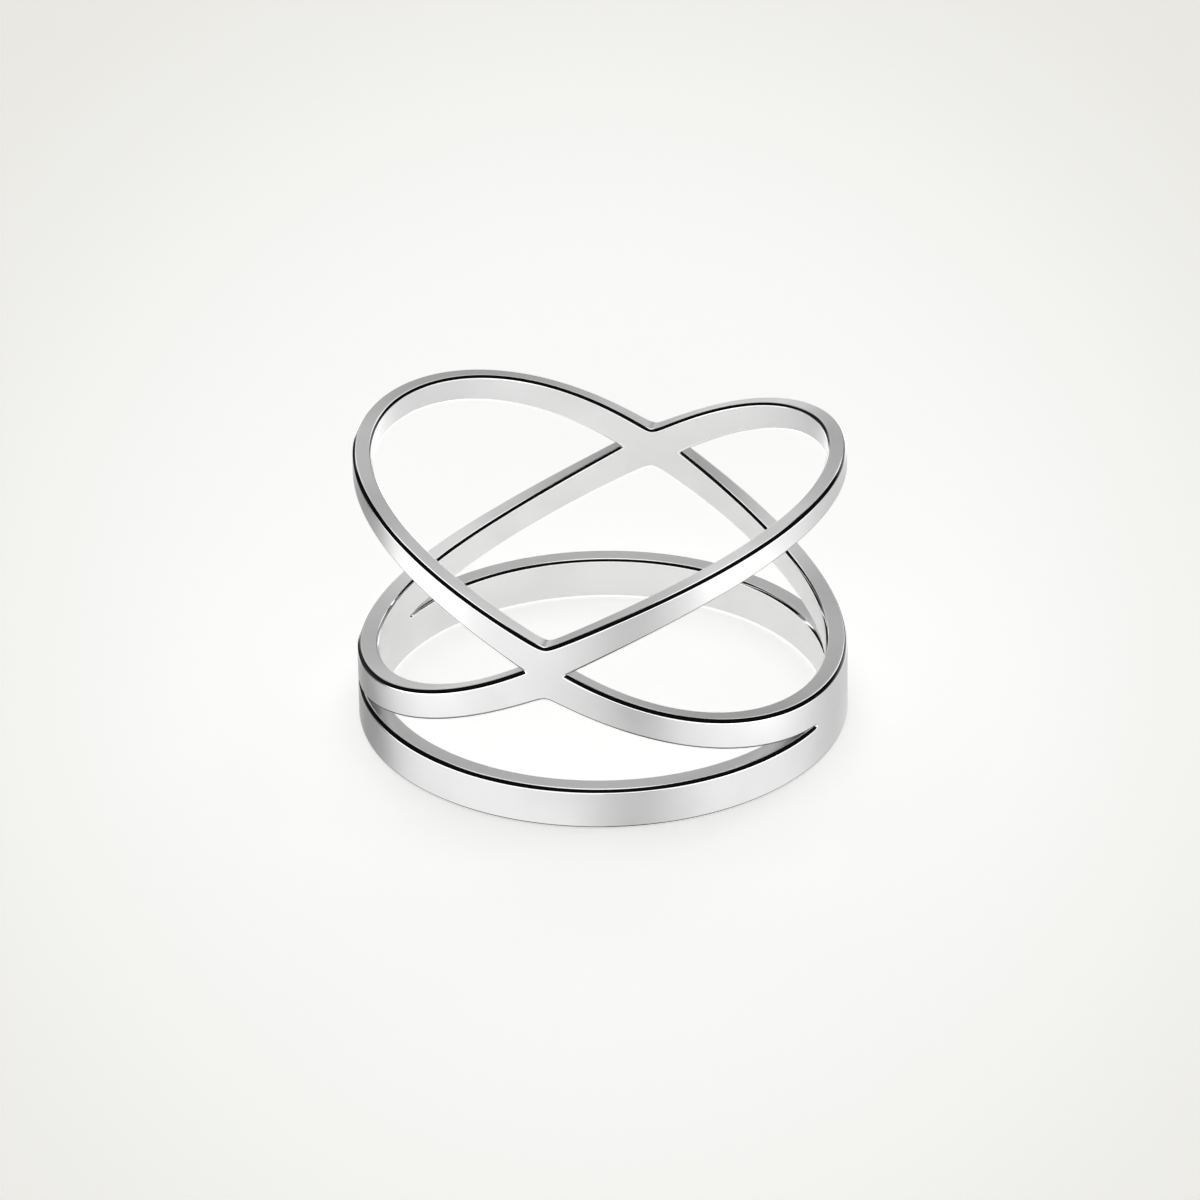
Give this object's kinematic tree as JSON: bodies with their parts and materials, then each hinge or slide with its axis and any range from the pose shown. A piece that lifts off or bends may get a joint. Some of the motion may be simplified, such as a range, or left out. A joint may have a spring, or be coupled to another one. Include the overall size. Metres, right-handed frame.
{
  "type": "crossover ring",
  "caption": "Plain polished finger ring with a base band and two slim bands that cross at the front and at the back.",
  "frame": {"origin": "on the finger axis, in the plane of the base band's flat foot that the ring rests on", "axes": "+Z along the finger axis from the base band towards the crossings, -Y towards the front crossing, +X towards the right high side"},
  "size_m": [0.019, 0.019, 0.0116],
  "materials": {
    "silver": "mirror polished white metal"
  },
  "bodies": {
    "root": {"crossover_ring": "silver"}
  },
  "joints": []
}
